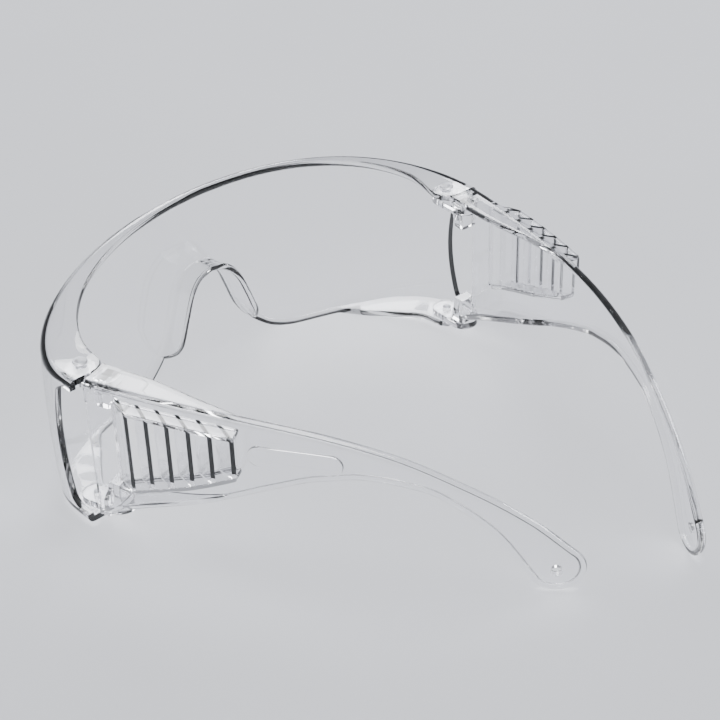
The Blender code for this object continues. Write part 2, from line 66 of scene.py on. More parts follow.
# Hinges
HINGE_INSET = 7.7        # hinge axis in from the outer face
BOSS_RADIUS = 5.6        # rounded end of the lens flanges round the hinge axis
TONGUE_RADIUS = 4.6
TONGUE_THICKNESS = 2.2
SHELF_GAP = 0.5          # lens flange end to temple flange end when fully open
LOWER_BOSS_BASE = 1.6    # underside of the lens's lower flange at the hinge
PIN_DIAMETER = 2.2
PIN_HEAD_DIAMETER = 4.2
PIN_HEAD_HEIGHT = 0.8
BLOCK_SIZE = (6.8, 5.2, 8.0)
LEFT_YAW = 18.9          # how far each temple is folded in, as it stands
RIGHT_YAW = 2.8

# Lens edges
NOSE_HEIGHT = 34.5       # top of the nose notch
NOSE_DEPTH = 11.0        # reach of the nose bridge and its pads behind the lens face
PAD_FLARE = 2.2          # how far the pads' rear edges turn away from the nose
BROW_SHELF_RISE = 1.35
LENS_BULGE = 1.8
SCOOP = 4.0              # how far the lens side's rear edge curves forward
SIDE_REAR = -0.8         # that edge's ends, from the hinge axis

# Temples
TEMPLE_BEND = 17.45      # inward bow of the outer face at 100 mm
TEMPLE_SLOPE = 0.026
TOP_SHELF_DEPTH = 10.5
BOTTOM_SHELF_DEPTH = 9.5
TIP_RADIUS = 7.3
TIP_ANGLE = -50.6        # direction of the arm at its tip
TIP_HOLE_DIAMETER = 3.0
LOUVRE_START = 14.4      # window's front edge behind the hinge axis
LOUVRE_LENGTH = 35.6
LOUVRE_COUNT = 6
LOUVRE_LIP = 4.5         # how far the louvre hood stands out
LOUVRE_WALL = 1.4
LOUVRE_TOP_MARGIN = 4.0
LOUVRE_BOTTOM_MARGIN = 10.5
PLATE_LENGTH = 26.0      # blank stadium-shaped pad
PLATE_WIDTH = 6.5
PLATE_RISE = 0.5
PLATE_GAP = 3.0           # from the louvres' rear edge to the pad

# Fineness of the mesh
LENS_STATIONS = 96
TEMPLE_STATIONS = 84
TIP_STATIONS = 18
FLANGE_ROWS = 6
CORNER_ROWS = 7
WALL_ROWS = 20
RIM_ROWS = 5
EDGE_ROUND = 0.22        # softened edges of blocks, webs and slats

HINGE_X = HALF_WIDTH - HINGE_INSET
TEMPLE_FRONT = BOSS_RADIUS + SHELF_GAP
OUTER_ROUND = INNER_ROUND + WALL
LEAST_DEPTH = OUTER_ROUND + RIM_ROUND + 0.15


def smooth(knots):
    """A smooth function through (x, y) knots that doesn't overshoot them."""
    x, y = (np.array(column, float) for column in zip(*knots))
    step = np.diff(x)
    rise = np.diff(y) / step
    slope = np.concatenate(([rise[0]], np.zeros(len(x) - 2), [rise[-1]]))
    for k in range(1, len(x) - 1):
        if rise[k - 1] * rise[k] > 0:
            slope[k] = 2 / (1 / rise[k - 1] + 1 / rise[k])

    def value(at):
        at = min(max(at, x[0]), x[-1])
        k = min(int(np.searchsorted(x, at, side="right")) - 1, len(step) - 1)
        t = (at - x[k]) / step[k]
        return (y[k] * (1 + 2 * t) * (1 - t) ** 2 + y[k + 1] * t * t * (3 - 2 * t)
                + slope[k] * step[k] * t * (1 - t) ** 2 + slope[k + 1] * step[k] * t * t * (t - 1))

    return value


def close_mesh(bm, mesh):
    """Write the body to the mesh with its faces pointing outwards."""
    bmesh.ops.recalc_face_normals(bm, faces=bm.faces)
    if bm.calc_volume(signed=True) < 0:
        bmesh.ops.reverse_faces(bm, faces=bm.faces)
    bm.to_mesh(mesh)
    bm.free()


# ---- the section that lens and temples share -------------------------------------------------

def edge_rows(reach, flare, lift):
    """(into the sheet, inward) offsets of one flanged edge: outer skin and inner skin, end first."""
    depth = max(reach, LEAST_DEPTH) - RIM_ROUND

    def moved(into, inward):
        share = max(inward - OUTER_ROUND, 0.0) / max(depth - OUTER_ROUND, 0.01)
        return into + flare * share ** 1.5 - lift * inward / max(depth, 0.01), inward

    outer, inner = [], []
    for k in range(FLANGE_ROWS):
        t = k / FLANGE_ROWS
        outer.append(moved(0.0, depth + t * (OUTER_ROUND - depth)))
        inner.append(moved(WALL, depth + t * (OUTER_ROUND - depth)))
    for k in range(CORNER_ROWS + 1):
        angle = math.radians(90 * (1 - k / CORNER_ROWS))
        turn, drop = 1 - math.sin(angle), 1 - math.cos(angle)
        outer.append(moved(OUTER_ROUND * turn, OUTER_ROUND * drop))
        inner.append(moved(WALL + INNER_ROUND * turn, WALL + INNER_ROUND * drop))
    rim = []
    for k in range(1, RIM_ROWS + 1):
        angle = math.pi * k / (RIM_ROWS + 1)
        into, inward = moved(WALL * (1 - math.cos(angle)) / 2, depth)
        rim.append((into, inward + RIM_ROUND * math.sin(angle)))
    return outer, inner, rim


def section(low, high, surface):
    """Closed ring of points. low and high are (point, direction into the sheet, flange rows)."""
    def skin(which, depth):
        points = []
        rows = []
        for (a, z), (da, dz), offsets in (low, high):
            rows.append([(a + da * q, z + dz * q, d) for q, d in offsets[which]])
        first, last = rows[0], rows[1][::-1]
        points += first
        for k in range(1, WALL_ROWS):
            t = k / WALL_ROWS
            points.append(tuple(np.array(first[-1][:2]) * (1 - t) + np.array(last[0][:2]) * t) + (depth,))
        return points + last

    def rim(edge, backwards):
        (a, z), (da, dz), offsets = edge
        rows = [(a + da * q, z + dz * q, d) for q, d in offsets[2]]
        return rows[::-1] if backwards else rows

    ring = skin(0, 0.0) + rim(high, False) + skin(1, WALL)[::-1] + rim(low, True)
    return [surface(*p) for p in ring]


def loft(name, rings):
    """A closed body from rings of points: a grid primitive wrapped round, welded and capped."""
    columns, around = len(rings) - 1, len(rings[0])
    mesh = bpy.data.meshes.new(name)
    bm = bmesh.new()
    bmesh.ops.create_grid(bm, x_segments=columns, y_segments=around, size=0.5)
    for v in bm.verts:
        i, k = round((v.co.x + 0.5) * columns), round((v.co.y + 0.5) * around)
        v.co = Vector(rings[i][k % around]) * MM
    bmesh.ops.remove_doubles(bm, verts=bm.verts, dist=2e-6)
    bmesh.ops.holes_fill(bm, edges=[e for e in bm.edges if e.is_boundary], sides=0)
    close_mesh(bm, mesh)
    return mesh


def mapped_box(name, place, cuts=0):
    """A cube primitive, cut across its length, whose points (u, v, w from 0 to 1) go to place."""
    mesh = bpy.data.meshes.new(name)
    bm = bmesh.new()
    bmesh.ops.create_cube(bm, size=1.0)
    if cuts:
        along = [e for e in bm.edges if abs(e.verts[0].co.x - e.verts[1].co.x) > 0.5]
        bmesh.ops.subdivide_edges(bm, edges=along, cuts=cuts, use_grid_fill=True)
    for v in bm.verts:
        v.co = Vector(place(*(v.co + Vector((0.5, 0.5, 0.5))))) * MM
    close_mesh(bm, mesh)
    return mesh


def disc(name, radius, low, high, centre=(0.0, 0.0), stretch=0.0, sides=32, chamfer=0.0):
    """An upright cylinder whose far half may be drawn back by stretch, with a chamfered top."""
    mesh = bpy.data.meshes.new(name)
    bm = bmesh.new()
    bmesh.ops.create_cone(bm, cap_ends=True, segments=sides, radius1=radius, radius2=radius,
                          depth=high - low)
    if chamfer:
        top = [e for e in bm.edges if all(v.co.z > 0 for v in e.verts)]
        bmesh.ops.bevel(bm, geom=top, offset=chamfer, segments=2, affect="EDGES", profile=0.5)
    for v in bm.verts:
        back = stretch if v.co.y > 1e-6 else 0.0
        v.co = Vector((v.co.x + centre[0], v.co.y + centre[1] + back, v.co.z + (low + high) / 2)) * MM
    close_mesh(bm, mesh)
    return mesh


# ---- lens ------------------------------------------------------------------------------------

def lens_plan():
    """Arc length, x, y and outward normal along half of the lens's outer face, seen from above."""
    angle = np.linspace(0, math.pi / 2, 600)
    x = HALF_WIDTH * np.sin(angle) ** (2 / PLAN_POWER)
    y = -LENS_DEPTH * np.abs(np.cos(angle)) ** (2 / PLAN_POWER)
    x, y = np.append(x, HALF_WIDTH), np.append(y, 2 * BOSS_RADIUS)
    arc = np.concatenate(([0.0], np.cumsum(np.hypot(np.diff(x), np.diff(y)))))
    tx, ty = np.gradient(x, arc), np.gradient(y, arc)
    size = np.hypot(tx, ty)
    tx, ty = np.append(tx[:-2] / size[:-2], (0.0, 0.0)), np.append(ty[:-2] / size[:-2], (1.0, 1.0))
    tx[0], ty[0] = 1.0, 0.0
    return arc, x, y, ty, -tx


PLAN = lens_plan()
HINGE_ARC = float(np.interp(-1e-3, PLAN[2], PLAN[0]))


def arc_at(x):
    return float(np.interp(x, PLAN[1][:-2], PLAN[0][:-2])) if x < HALF_WIDTH else HINGE_ARC


def lens_top(arc):
    t = float(np.interp(abs(arc), PLAN[0], PLAN[1])) / HALF_WIDTH
    return HINGE_HEIGHT + (BROW_HEIGHT - HINGE_HEIGHT) * (1 - 0.757 * t ** 2 - 0.243 * t ** 4)


def lens_surface(arc, z, depth):
    """The point that lies depth inside the lens's outer face."""
    side = -1 if arc < 0 else 1
    x, y, nx, ny = (float(np.interp(abs(arc), PLAN[0], PLAN[k])) for k in (1, 2, 3, 4))
    half = lens_top(arc) / 2
    fade = min(max((HINGE_ARC - abs(arc)) / 30.0, 0.0), 1.0)
    bulge = LENS_BULGE * fade * fade * (3 - 2 * fade) * max(0.0, 1 - ((z - half) / half) ** 2)
    out = bulge - depth
    return side * (x + nx * out), y + ny * out, z


def lens_lower_path():
    """Lower edge of half the lens as functions of its own length: arc, height."""
    share = NOSE_HEIGHT / 34.5
    knots = [(0, 34.5), (4, 33.3), (7, 29.8), (9.6, 23), (12, 16.2), (14.8, 11.6), (18, 8.2),
             (21.5, 5.2), (25, 2.9), (30, 1.1), (35, 0.3)]
    points = [(arc_at(x), z * share) for x, z in knots]
    wide = HALF_WIDTH / 77.3
    points += [(arc_at(45 * wide), 0.0), (arc_at(56 * wide), 0.0), (arc_at(68 * wide), LOWER_BOSS_BASE / 2),
               (HINGE_ARC - 6, LOWER_BOSS_BASE), (HINGE_ARC + BOSS_RADIUS, LOWER_BOSS_BASE)]
    steps = [math.dist(a, b) for a, b in zip(points, points[1:])]
    along = np.concatenate(([0.0], np.cumsum(steps)))
    return (smooth(list(zip(along, [p[0] for p in points]))),
            smooth(list(zip(along, [p[1] for p in points]))), along)


def boss_reach(arc):
    """Flange depth at the hinge: the flange ends in an arc round the hinge axis."""
    past = min(max(arc - HINGE_ARC, 0.0), BOSS_RADIUS)
    return HINGE_INSET + math.sqrt(BOSS_RADIUS ** 2 - past ** 2)


def lens_rings():
    arc_of, height_of, along = lens_lower_path()
    full = HINGE_INSET + BOSS_RADIUS
    lobe, total = along[11], along[-1]
    pad_end = along[6]
    nose = smooth([(0, 0.9 * NOSE_DEPTH), (0.4 * pad_end, NOSE_DEPTH), (0.74 * pad_end, 0.97 * NOSE_DEPTH),
                   (0.87 * pad_end, 0.8 * NOSE_DEPTH), (0.95 * pad_end, 0.5 * NOSE_DEPTH), (pad_end, 0.2)])
    turn = smooth([(0, 0.45), (0.45 * pad_end, 0.9), (0.7 * pad_end, 1.0), (0.9 * pad_end, 0.5),
                   (pad_end, 0.0)])
    lower = smooth([(pad_end, 0.0), (lobe, 0.0), (lobe + 6, 4.0), (lobe + 16, 9.0), (lobe + 30, full - 0.8),
                    (total - BOSS_RADIUS, full)])
    upper = smooth([(0, 5.4), (0.32 * HINGE_ARC, 6.2), (0.58 * HINGE_ARC, 8.0), (0.8 * HINGE_ARC, 10.8),
                    (0.95 * HINGE_ARC, full - 0.4), (HINGE_ARC, full)])

    def station(s):
        arc, z = arc_of(s), height_of(s)
        step = 0.4
        before, after = max(s - step, 0.0), min(s + step, total)
        da, dz = arc_of(after) - arc_of(before), height_of(after) - height_of(before)
        if s == 0:
            dz = 0.0
        size = math.hypot(da, dz)
        into = (-dz / size, da / size)
        rise = (lens_top(arc + step) - lens_top(arc - step)) / (2 * step) if 0 < arc < HINGE_ARC else 0.0
        down = (rise / math.hypot(1, rise), -1 / math.hypot(1, rise))
        tab = arc > HINGE_ARC
        low_reach = boss_reach(arc) if tab else nose(s) if s < pad_end else lower(s)
        flare = PAD_FLARE * turn(s)
        high_reach = boss_reach(arc) if tab else upper(arc)
        lift = BROW_SHELF_RISE * min(max((HINGE_ARC - arc) / 18.0, 0.0), 1.0)
        return (((arc, z), into, edge_rows(low_reach, flare, 0.0)),
                ((arc, lens_top(arc)), down, edge_rows(high_reach, 0.0, lift)))

    tabs = [total - BOSS_RADIUS * (1 - math.sin(math.radians(a))) for a in (0, 25, 48, 68, 90)]
    places = list(np.linspace(0, tabs[0], LENS_STATIONS + 1)[:-1]) + tabs
    right_half = [station(s) for s in places]
    rings = []
    for (low, high) in right_half[:0:-1]:
        mirrored = [((-p[0], p[1]), (-d[0], d[1]), rows) for p, d, rows in (low, high)]
        rings.append(section(*mirrored, lens_surface))
    return rings + [section(low, high, lens_surface) for low, high in right_half]


# ---- temples, in a frame whose origin is on the hinge axis at floor level ---------------------

def face_x(y):
    """Outer face of the left temple's panel, from the hinge axis."""
    return HINGE_INSET - TEMPLE_SLOPE * y - TEMPLE_BEND * (y / 100) ** 2


def temple_surface(y, z, depth):
    slope = TEMPLE_SLOPE + 2 * TEMPLE_BEND * y / 1e4
    size = math.hypot(1, slope)
    return face_x(y) - depth / size, y - depth * slope / size, z


def tip_frame():
    angle = math.radians(TIP_ANGLE)
    along = np.array((math.cos(angle), math.sin(angle)))
    across = np.array((-along[1], along[0]))
    return np.array((TEMPLE_LENGTH, TIP_RADIUS)), along, across


def temple_edges():
    """Height of the arm's top and bottom edges as functions of the distance behind the hinge."""
    centre, _, across = tip_frame()
    end_top, end_low = centre + TIP_RADIUS * across, centre - TIP_RADIUS * across
    long = TEMPLE_LENGTH / 130.5
    top = [(TEMPLE_FRONT, HINGE_HEIGHT), (35 * long, HINGE_HEIGHT - 0.9), (50 * long, HINGE_HEIGHT - 1.7),
           (70 * long, HINGE_HEIGHT - 3.6), (90 * long, HINGE_HEIGHT - 8.1),
           (110 * long, HINGE_HEIGHT - 17.4), (125 * long, HINGE_HEIGHT - 27.4), tuple(end_top)]
    low = [(TEMPLE_FRONT, tongue_base() + 0.2), (20 * long, 10.4), (40 * long, 17.6), (60 * long, 26.7),
           (72 * long, 31.2), (84 * long, 33.2), (98 * long, 31.0), (107 * long, 25.6), (115 * long, 18.2),
           tuple(end_low)]
    return smooth(top), smooth(low), end_top, end_low


def tongue_base():
    """Underside of the temple's lower tongue, which turns on top of the lens's lower flange."""
    return LOWER_BOSS_BASE + WALL + GAP


def temple_rings():
    top, low, end_top, end_low = temple_edges()
    centre, along, across = tip_frame()
    top_depth = smooth([(TEMPLE_FRONT, TOP_SHELF_DEPTH), (20, TOP_SHELF_DEPTH - 0.8), (40, 5.4), (62, 0.0)])
    low_depth = smooth([(TEMPLE_FRONT, BOTTOM_SHELF_DEPTH), (18, BOTTOM_SHELF_DEPTH - 0.6), (38, 5.0),
                        (58, 0.0)])

    def edge(curve, y, sign, reach):
        rise = (curve(y + 0.5) - curve(y - 0.5)) if y > TEMPLE_FRONT + 1 else 0.0
        size = math.hypot(1, rise)
        return (y, curve(y)), (-sign * rise / size, sign / size), edge_rows(reach, 0.0, 0.0)

    rings = []
    for k in range(TEMPLE_STATIONS):
        t = k / TEMPLE_STATIONS
        y_top = TEMPLE_FRONT + t * (end_top[0] - TEMPLE_FRONT)
        y_low = TEMPLE_FRONT + t * (end_low[0] - TEMPLE_FRONT)
        lower = edge(low, y_low, 1, low_depth(y_low) if y_low < 58 else 0.0)
        upper = edge(top, y_top, -1, top_depth(y_top) if y_top < 62 else 0.0)
        rings.append(section(lower, upper, temple_surface))
    for k in range(TIP_STATIONS + 1):
        angle = math.radians(90 * (1 - k / TIP_STATIONS))
        ends = []
        for sign in (-1, 1):
            away = along * math.cos(angle) + across * sign * math.sin(angle)
            ends.append((tuple(centre + TIP_RADIUS * away), tuple(-away), edge_rows(0.0, 0.0, 0.0)))
        rings.append(section(*ends, temple_surface))
    return rings


def louvre_window():
    """Rear edge, and the top and bottom edges as functions of the distance behind the hinge."""
    top, low, _, _ = temple_edges()
    return (LOUVRE_START + LOUVRE_LENGTH, lambda y: top(y) - LOUVRE_TOP_MARGIN,
            lambda y: low(y) + LOUVRE_BOTTOM_MARGIN)


def louvre_meshes(prefix):
    """The window's cutter, and the slats with the hood's top and bottom walls."""
    rear, top, low = louvre_window()
    pitch = LOUVRE_LENGTH / LOUVRE_COUNT
    run = pitch + 0.8
    cutter = mapped_box(prefix + "window", lambda u, v, w: temple_surface(
        LOUVRE_START + u * LOUVRE_LENGTH,
        low(LOUVRE_START + u * LOUVRE_LENGTH) * (1 - v) + top(LOUVRE_START + u * LOUVRE_LENGTH) * v,
        -3 + w * (WALL + 6)), cuts=5)
    added = []
    for k in range(LOUVRE_COUNT):
        start = LOUVRE_START - 0.4 + k * pitch

        def slat(u, v, w, start=start):
            y = start + u * run + w * LOUVRE_WALL
            depth = (WALL - 0.15) * (1 - u) - LOUVRE_LIP * u
            return temple_surface(y, (low(y) - 0.9) * (1 - v) + (top(y) + 0.9) * v, depth)

        added.append(mapped_box(f"{prefix}slat_{k + 1}", slat))
    for name, edge, side in (("top", top, 1), ("bottom", low, -1)):
        def hood(u, v, w, edge=edge, side=side):
            y = LOUVRE_START + 0.9 + u * (LOUVRE_LENGTH + 0.4)
            proud = LOUVRE_LIP * min(1.0, 0.12 + u * (LOUVRE_COUNT - 0.4))
            depth = WALL - 0.4 - w * (WALL - 0.4 + proud)
            return temple_surface(y, edge(y) + side * (0.1 + v * LOUVRE_WALL), depth)

        added.append(mapped_box(f"{prefix}hood_{name}", hood, cuts=10))
    return [cutter], added


def knuckle_meshes(prefix):
    """Tongues, blocks and webs that join the temple to its two hinge bosses."""
    width, length, height = BLOCK_SIZE
    inner = -width / 2 - 0.2
    upper = HINGE_HEIGHT - WALL - GAP
    lower = tongue_base()
    added = [disc(prefix + name, TONGUE_RADIUS, base, base + TONGUE_THICKNESS, stretch=TEMPLE_FRONT + 2)
             for name, base in (("upper_tongue", upper - TONGUE_THICKNESS), ("lower_tongue", lower))]
    for name, base, way in (("upper", upper + GAP + 0.8, -1), ("lower", lower + 0.6, 1)):
        tall = height + 0.8 if way < 0 else height + 1.6

        def block(u, v, w, base=base, way=way, tall=tall):
            taper = 0.7 * v
            back = TEMPLE_FRONT + 0.1 + taper + w * (length - 2 * taper)
            return inner + taper + u * (width - 2 * taper), back, base + way * v * tall

        def web(u, v, w, base=base, way=way, tall=tall):
            reach = HINGE_INSET - 0.6 * WALL - (inner + width - 1.2)
            drop = tall * (0.92 - 0.45 * u)
            return inner + width - 1.2 + u * reach, TEMPLE_FRONT + 0.9 + w * 1.6, base + way * v * drop

        added += [mapped_box(f"{prefix}{name}_block", block), mapped_box(f"{prefix}{name}_web", web)]
    return added


def plate_mesh(name):
    """The blank raised pad behind the louvres: flat, square to the bowed face at its middle."""
    rear, _, _ = louvre_window()
    middle = rear + PLATE_GAP + PLATE_LENGTH / 2
    top, low, _, _ = temple_edges()
    height = (top(middle) + low(middle)) / 2
    centre = Vector(temple_surface(middle, height, 0.0))
    outward = (centre - Vector(temple_surface(middle, height, 1.0))).normalized()
    along = Vector((0, 0, 1)).cross(outward)
    mesh = bpy.data.meshes.new(name)
    bm = bmesh.new()
    radius = PLATE_WIDTH / 2
    bmesh.ops.create_cone(bm, cap_ends=True, segments=28, radius1=radius, radius2=radius, depth=1.0)
    for v in bm.verts:
        ahead = v.co.x + math.copysign((PLATE_LENGTH - PLATE_WIDTH) / 2, v.co.x)
        proud = PLATE_RISE if v.co.z > 0 else -WALL / 2
        v.co = (centre + along * ahead + outward * proud + Vector((0, 0, v.co.y))) * MM
    close_mesh(bm, mesh)
    return mesh


# ---- pins ------------------------------------------------------------------------------------

def pin_mesh(name, low, high, head_up):
    """A turned pin: a profile, spun by a Screw modifier on its object."""
    head, shank = PIN_HEAD_DIAMETER / 2, PIN_DIAMETER / 2
    top = high + PIN_HEAD_HEIGHT
    profile = [(0, top), (head * 0.6, top), (head * 0.92, high + PIN_HEAD_HEIGHT * 0.7),
               (head, high + PIN_HEAD_HEIGHT * 0.3), (head, high), (shank, high), (shank, low + 0.3),
               (shank - 0.3, low), (0, low)]
    if not head_up:
        profile = [(r, low + high - z) for r, z in profile[::-1]]
    mesh = bpy.data.meshes.new(name)
    bm = bmesh.new()
    points = [bm.verts.new((r * MM, 0, z * MM)) for r, z in profile]
    for a, b in zip(points, points[1:]):
        bm.edges.new((a, b))
    bm.to_mesh(mesh)
    bm.free()
    return mesh


# ---- materials -------------------------------------------------------------------------------

PLASTIC_IOR = 1.586
HAIR_SCALE = 420.0          # fine scratches, stretched along the height
HAIR_STRETCH = 14.0
PATCH_SCALE = 60.0          # where the scratches gather
SMEAR_SCALE = 34.0
RIPPLE_SCALE = 26.0
SCRATCH_ROUGHNESS = 0.22
HAZE_ROUGHNESS = 0.07
SCRATCH_DEPTH = 0.08
BUMP_STRENGTH = 0.16
BUMP_DISTANCE = 0.0004
EDGE_BLEND = 0.35
EDGE_TINT = 0.8

# Each look: colour face on, colour edge on, polish, scratches, haze, share of light in its shadow
LENS_FINISH = ((0.985, 0.985, 0.99), (0.95, 0.95, 0.985), 0.02, 0.55, 0.3, 0.86)
TEMPLE_FINISH = ((0.98, 0.98, 0.99), (0.945, 0.945, 0.985), 0.03, 0.8, 0.5, 0.84)
PIN_FINISH = ((0.90, 0.91, 0.95), (0.74, 0.75, 0.86), 0.28, 0.4, 1.0, 0.7)

def group(name, inputs, outputs):
    """A node group with named float inputs and outputs given as (name, socket type)."""
    made = bpy.data.node_groups.new(name, "ShaderNodeTree")
    for label, kind, value in inputs:
        socket = made.interface.new_socket(label, in_out="INPUT", socket_type=kind)
        if value is not None:
            socket.default_value = value
    for label, kind in outputs:
        made.interface.new_socket(label, in_out="OUTPUT", socket_type=kind)
    return made, made.nodes.new("NodeGroupInput"), made.nodes.new("NodeGroupOutput")


def noise(tree, vector, scale, detail, rough=0.5):
    node = tree.nodes.new("ShaderNodeTexNoise")
    node.inputs["Scale"].default_value = scale
    node.inputs["Detail"].default_value = detail
    node.inputs["Roughness"].default_value = rough
    tree.links.new(vector, node.inputs["Vector"])
    return node.outputs["Fac"]


def spread(tree, value, low, high, to_low, to_high):
    node = tree.nodes.new("ShaderNodeMapRange")
    for label, number in (("From Min", low), ("From Max", high), ("To Min", to_low), ("To Max", to_high)):
        node.inputs[label].default_value = number
    tree.links.new(value, node.inputs["Value"])
    return node.outputs["Result"]


def math_node(tree, operation, a, b):
    node = tree.nodes.new("ShaderNodeMath")
    node.operation = operation
    for socket, value in zip(node.inputs, (a, b)):
        if isinstance(value, (int, float)):
            socket.default_value = value
        else:
            tree.links.new(value, socket)
    return node.outputs[0]


def handling_group():
    """Fine wiping scratches, moulding ripple and dust that every polished moulding shows."""
    made, given, out = group("polished_moulding",
                             [("Polish", "NodeSocketFloat", 0.03), ("Scratches", "NodeSocketFloat", 0.5),
                              ("Haze", "NodeSocketFloat", 0.4)],
                             [("Roughness", "NodeSocketFloat"), ("Height", "NodeSocketFloat")])
    place = made.nodes.new("ShaderNodeTexCoord").outputs["Object"]
    stretch = made.nodes.new("ShaderNodeMapping")
    stretch.inputs["Scale"].default_value = (1.0, 1.0, HAIR_STRETCH)
    stretch.inputs["Rotation"].default_value = (0.5, 0.35, 0.2)
    made.links.new(place, stretch.inputs["Vector"])
    hair = spread(made, noise(made, stretch.outputs["Vector"], HAIR_SCALE, 2.0), 0.64, 0.72, 0.0, 1.0)
    patches = spread(made, noise(made, place, PATCH_SCALE, 3.0), 0.5, 0.72, 0.0, 1.0)
    gathered = math_node(made, "MULTIPLY", hair, patches)
    scratches = math_node(made, "MULTIPLY", gathered, given.outputs["Scratches"])
    smear = spread(made, noise(made, place, SMEAR_SCALE, 4.0, 0.6), 0.48, 0.78, 0.0, 1.0)
    haze = math_node(made, "MULTIPLY", smear, given.outputs["Haze"])
    rough = math_node(made, "ADD", given.outputs["Polish"],
                      math_node(made, "ADD", math_node(made, "MULTIPLY", scratches, SCRATCH_ROUGHNESS),
                                math_node(made, "MULTIPLY", haze, HAZE_ROUGHNESS)))
    ripple = noise(made, place, RIPPLE_SCALE, 1.0)
    height = math_node(made, "SUBTRACT", ripple, math_node(made, "MULTIPLY", scratches, SCRATCH_DEPTH))
    for label, value in (("Roughness", rough), ("Height", height)):
        made.links.new(value, out.inputs[label])
    return made


def clear_plastic(name, finish, clear, edge, polish, scratches, haze, shade):
    """Polished clear plastic: refracting, a little violet where it is seen edge on."""
    made = bpy.data.materials.new(name)
    made.use_nodes = True
    tree = made.node_tree
    shader = tree.nodes["Principled BSDF"]
    shader.inputs["IOR"].default_value = PLASTIC_IOR
    shader.inputs["Metallic"].default_value = 0.0
    shader.inputs["Transmission Weight"].default_value = 1.0
    wear = tree.nodes.new("ShaderNodeGroup")
    wear.node_tree = finish
    for label, value in (("Polish", polish), ("Scratches", scratches), ("Haze", haze)):
        wear.inputs[label].default_value = value
    tree.links.new(wear.outputs["Roughness"], shader.inputs["Roughness"])
    bump = tree.nodes.new("ShaderNodeBump")
    bump.inputs["Strength"].default_value = BUMP_STRENGTH
    bump.inputs["Distance"].default_value = BUMP_DISTANCE
    tree.links.new(wear.outputs["Height"], bump.inputs["Height"])
    tree.links.new(bump.outputs["Normal"], shader.inputs["Normal"])
    weight = tree.nodes.new("ShaderNodeLayerWeight")
    weight.inputs["Blend"].default_value = EDGE_BLEND
    tint = tree.nodes.new("ShaderNodeMix")
    tint.data_type = "RGBA"
    tint.inputs["A"].default_value = (*clear, 1.0)
    tint.inputs["B"].default_value = (*edge, 1.0)
    tree.links.new(math_node(tree, "MULTIPLY", weight.outputs["Facing"], EDGE_TINT), tint.inputs["Factor"])
    tree.links.new(tint.outputs["Result"], shader.inputs["Base Color"])
    light = tree.nodes.new("ShaderNodeLightPath")
    through = tree.nodes.new("ShaderNodeBsdfTransparent")
    through.inputs["Color"].default_value = (shade, shade, shade, 1.0)
    mix = tree.nodes.new("ShaderNodeMixShader")
    tree.links.new(light.outputs["Is Shadow Ray"], mix.inputs["Fac"])
    tree.links.new(shader.outputs["BSDF"], mix.inputs[1])
    tree.links.new(through.outputs["BSDF"], mix.inputs[2])
    tree.links.new(mix.outputs["Shader"], tree.nodes["Material Output"].inputs["Surface"])
    return made


def floor_material():
    made = bpy.data.materials.new("pale_floor")
    made.use_nodes = True
    tree = made.node_tree
    shader = tree.nodes["Principled BSDF"]
    shader.inputs["Roughness"].default_value = 0.8
    place = tree.nodes.new("ShaderNodeTexCoord").outputs["Object"]
    ramp = tree.nodes.new("ShaderNodeMix")
    ramp.data_type = "RGBA"
    ramp.inputs["A"].default_value = (0.52, 0.53, 0.56, 1.0)
    ramp.inputs["B"].default_value = (0.56, 0.57, 0.60, 1.0)
    tree.links.new(noise(tree, place, 9.0, 3.0), ramp.inputs["Factor"])
    tree.links.new(ramp.outputs["Result"], shader.inputs["Base Color"])
    return made


# ---- assembly --------------------------------------------------------------------------------

SHARP_ANGLE = math.radians(38)
SOFTENED_ANGLE = math.radians(50)
ROUND_SIDES = 48            # sides of every pin and hole
PIN_PAST_TONGUE = 0.4

HINGES = {joint["name"]: Vector(joint["pos_m"]) for joint in frame["joints"]}
MIDDLE = (HINGES["left_hinge"] + HINGES["right_hinge"]) / 2
MIDDLE.z = 0.0


def joined(mesh, tools, operation):
    """The mesh after a Boolean with each tool mesh in turn."""
    base = bpy.data.objects.new("work", mesh)
    bpy.context.scene.collection.objects.link(base)
    helpers = []
    for tool in tools:
        helper = bpy.data.objects.new("tool", tool)
        bpy.context.scene.collection.objects.link(helper)
        helpers.append(helper)
        made = base.modifiers.new("cut", "BOOLEAN")
        made.operation = operation
        made.solver = "EXACT"
        made.object = helper
    bpy.context.view_layer.update()
    result = bpy.data.meshes.new_from_object(base.evaluated_get(bpy.context.evaluated_depsgraph_get()))
    for used in [base, *helpers]:
        bpy.data.objects.remove(used, do_unlink=True)
    return result


def softened(mesh, amount=EDGE_ROUND):
    """The mesh with its sharp edges rounded."""
    bm = bmesh.new()
    bm.from_mesh(mesh)
    sharp = [e for e in bm.edges if e.is_manifold and e.calc_face_angle(0.0) > SOFTENED_ANGLE]
    bmesh.ops.bevel(bm, geom=sharp, offset=amount * MM, segments=2, profile=0.5, affect="EDGES",
                    clamp_overlap=True)
    close_mesh(bm, mesh)
    return mesh


def mirrored(mesh):
    bm = bmesh.new()
    bm.from_mesh(mesh)
    bmesh.ops.scale(bm, vec=(-1, 1, 1), verts=bm.verts)
    close_mesh(bm, mesh)
    return mesh


def piece(name, mesh, body, look, nodes, place=Matrix.Identity(4)):
    """A finished piece that stands for its CAD nodes and rides on a body."""
    mesh.name = name
    mesh.transform(place)
    mesh.materials.clear()
    mesh.materials.append(look)
    mesh.shade_smooth()
    mesh.set_sharp_from_angle(angle=SHARP_ANGLE)
    made = bpy.data.objects.new(name, mesh)
    bpy.context.scene.collection.objects.link(made)
    even = made.modifiers.new("even shading", "WEIGHTED_NORMAL")
    even.keep_sharp = True
    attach(made, body)
    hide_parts(*nodes)
    return made


